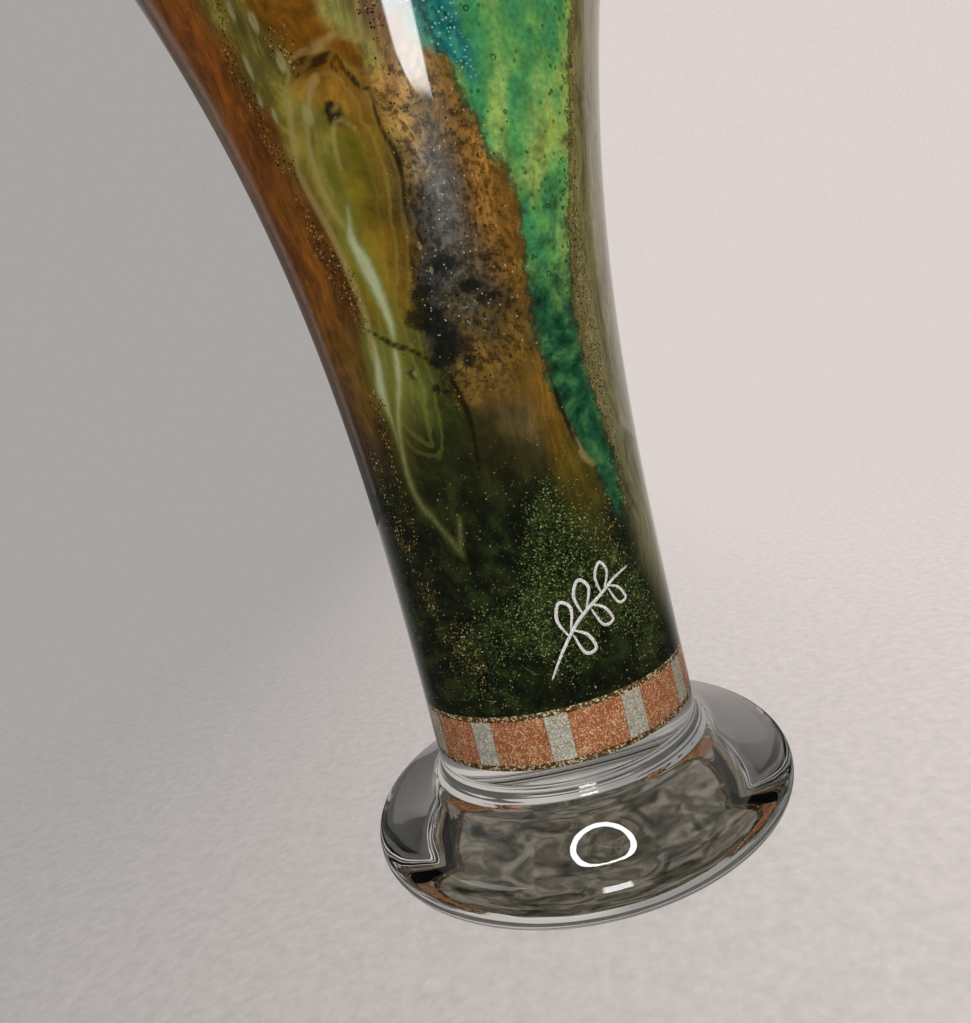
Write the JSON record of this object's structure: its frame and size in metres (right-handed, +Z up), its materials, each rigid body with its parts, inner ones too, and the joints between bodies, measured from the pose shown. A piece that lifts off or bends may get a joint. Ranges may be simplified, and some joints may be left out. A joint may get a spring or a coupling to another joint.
{
  "type": "glass vase",
  "caption": "Hand blown trumpet vase: coloured glass patches and leaf tiles cased in clear glass, on a heavy round clear foot.",
  "frame": {"origin": "centre of the foot, on the surface that the vase stands on", "axes": "+Z up along the axis of the vase, -Y towards the front, where the signature place and the main colour patches are, +X to the right seen from the front"},
  "size_m": [0.1752, 0.1752, 0.3],
  "materials": {
    "clear_foot": "fire polished",
    "clear_casing": "fire polished",
    "clear_lining": "fire polished",
    "silver_leaf_tile": "silver leaf under glass",
    "copper_leaf_tile": "copper leaf under glass",
    "cream_vein": "coloured glass",
    "lower_vein": "coloured glass",
    "back_vein": "coloured glass",
    "teal_patch": "coloured glass",
    "teal_patch_back": "coloured glass",
    "green_panel": "coloured glass",
    "green_panel_back": "coloured glass",
    "honey_patch": "coloured glass",
    "smoke_patch": "coloured glass",
    "smoke_side": "coloured glass",
    "olive_petal": "coloured glass",
    "olive_petal_back": "coloured glass",
    "rust_streak": "coloured glass",
    "rust_streak_back": "coloured glass",
    "dark_base": "coloured glass",
    "dark_core": "coloured glass",
    "amber_ground": "coloured glass",
    "amber_thread": "coloured glass"
  },
  "bodies": {
    "root": {"foot": "clear_foot", "outer_casing": "clear_casing", "inner_bubble": "clear_lining", "silver_tile_01": "silver_leaf_tile", "copper_tile_01": "copper_leaf_tile", "silver_tile_02": "silver_leaf_tile", "copper_tile_02": "copper_leaf_tile", "silver_tile_03": "silver_leaf_tile", "copper_tile_03": "copper_leaf_tile", "silver_tile_04": "silver_leaf_tile", "copper_tile_04": "copper_leaf_tile", "silver_tile_05": "silver_leaf_tile", "copper_tile_05": "copper_leaf_tile", "silver_tile_06": "silver_leaf_tile", "copper_tile_06": "copper_leaf_tile", "silver_tile_07": "silver_leaf_tile", "copper_tile_07": "copper_leaf_tile", "silver_tile_08": "silver_leaf_tile", "copper_tile_08": "copper_leaf_tile", "silver_tile_09": "silver_leaf_tile", "copper_tile_09": "copper_leaf_tile", "silver_tile_10": "silver_leaf_tile", "copper_tile_10": "copper_leaf_tile", "silver_tile_11": "silver_leaf_tile", "copper_tile_11": "copper_leaf_tile", "cream_vein": "cream_vein", "lower_vein": "lower_vein", "back_vein": "back_vein", "teal_patch": "teal_patch", "teal_patch_back": "teal_patch_back", "green_panel": "green_panel", "green_panel_back": "green_panel_back", "honey_patch": "honey_patch", "smoke_patch": "smoke_patch", "smoke_side": "smoke_side", "olive_petal": "olive_petal", "olive_petal_back": "olive_petal_back", "rust_streak": "rust_streak", "rust_streak_back": "rust_streak_back", "dark_base": "dark_base", "dark_core": "dark_core", "amber_ground": "amber_ground", "lower_trail": "amber_thread", "upper_trail": "amber_thread"}
  },
  "joints": []
}
